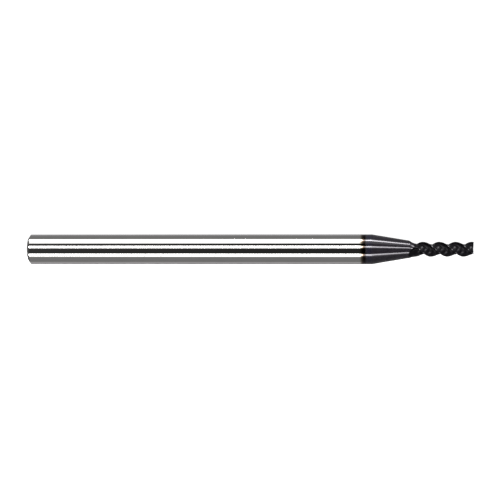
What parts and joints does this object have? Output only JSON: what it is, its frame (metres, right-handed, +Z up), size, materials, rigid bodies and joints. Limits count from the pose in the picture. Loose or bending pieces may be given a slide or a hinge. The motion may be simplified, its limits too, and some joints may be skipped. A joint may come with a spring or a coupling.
{
  "type": "end mill",
  "caption": "Solid carbide square end mill with helical flutes, a long conical neck, a dark coated working end and a bare polished straight shank.",
  "frame": {"origin": "centre of the flat butt face at the end of the shank", "axes": "+X along the tool's axis, from the butt to the cutting end; +Z up when the tool lies on its side; the first tooth's corner at the cutting end points 105 degrees from +Y towards +Z"},
  "size_m": [0.045, 0.003, 0.003],
  "materials": {
    "bare_carbide": "polished",
    "coated_carbide": "gloss",
    "coated_flutes": "satin"
  },
  "bodies": {
    "root": {"shank": "bare_carbide", "neck": "coated_carbide", "cutter": "coated_flutes"}
  },
  "joints": []
}
